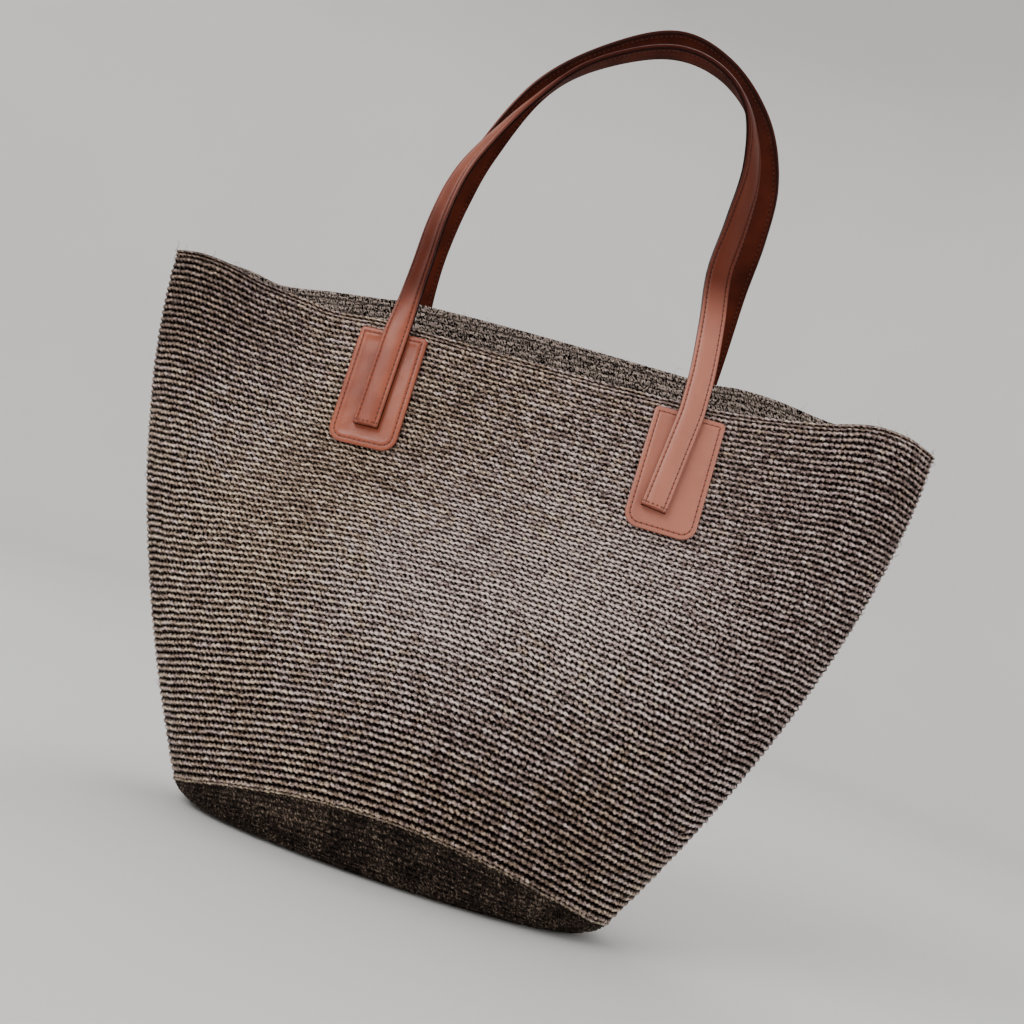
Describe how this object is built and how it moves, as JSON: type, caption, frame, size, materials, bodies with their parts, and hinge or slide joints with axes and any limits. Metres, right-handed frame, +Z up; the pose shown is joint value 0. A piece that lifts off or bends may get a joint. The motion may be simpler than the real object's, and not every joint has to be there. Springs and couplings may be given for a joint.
{
  "type": "woven tote bag",
  "caption": "Crocheted raffia market tote, flared to a wide mouth over an oval base, with two tan leather strap handles sewn on through leather patches.",
  "frame": {"origin": "centre of the bag on the surface that it stands on", "axes": "+Z up out of the mouth, +X along the mouth to the right as seen from the front, the front wall faces -Y"},
  "size_m": [0.551, 0.137, 0.6172],
  "materials": {
    "raffia": "dull crocheted raffia in mixed grey-brown and straw strands",
    "dark_raffia": "dull crocheted raffia, very dark brown",
    "tan_leather": "smooth cognac leather, satin",
    "lining_leather": "smooth dark brown leather, dull",
    "strap_core": "bonded leather board, hidden"
  },
  "bodies": {
    "bag": {"woven_base": "dark_raffia", "woven_wall": "raffia", "woven_edge": "raffia", "patch_front_left": "tan_leather", "backing_front_left": "lining_leather", "strap_end_front_left_face": "tan_leather", "strap_end_front_left_lining": "lining_leather", "patch_front_right": "tan_leather", "backing_front_right": "lining_leather", "strap_end_front_right_face": "tan_leather", "strap_end_front_right_lining": "lining_leather", "patch_back_left": "tan_leather", "backing_back_left": "lining_leather", "strap_end_back_left_face": "tan_leather", "strap_end_back_left_lining": "lining_leather", "patch_back_right": "tan_leather", "backing_back_right": "lining_leather", "strap_end_back_right_face": "tan_leather", "strap_end_back_right_lining": "lining_leather"},
    "front_handle": {"handle_front_face": "tan_leather", "handle_front_core": "strap_core", "handle_front_lining": "lining_leather"},
    "back_handle": {"handle_back_face": "tan_leather", "handle_back_core": "strap_core", "handle_back_lining": "lining_leather"}
  },
  "joints": [
    {"name": "front_handle_fold", "type": "hinge", "parent": "bag", "child": "front_handle", "pos_m": [0.0115, -0.04021, 0.34516], "axis": [1, 0, 0], "range_deg": [0, 172]},
    {"name": "back_handle_fold", "type": "hinge", "parent": "bag", "child": "back_handle", "pos_m": [0.009, 0.03974, 0.37442], "axis": [-1, 0, 0], "range_deg": [0, 172]}
  ]
}
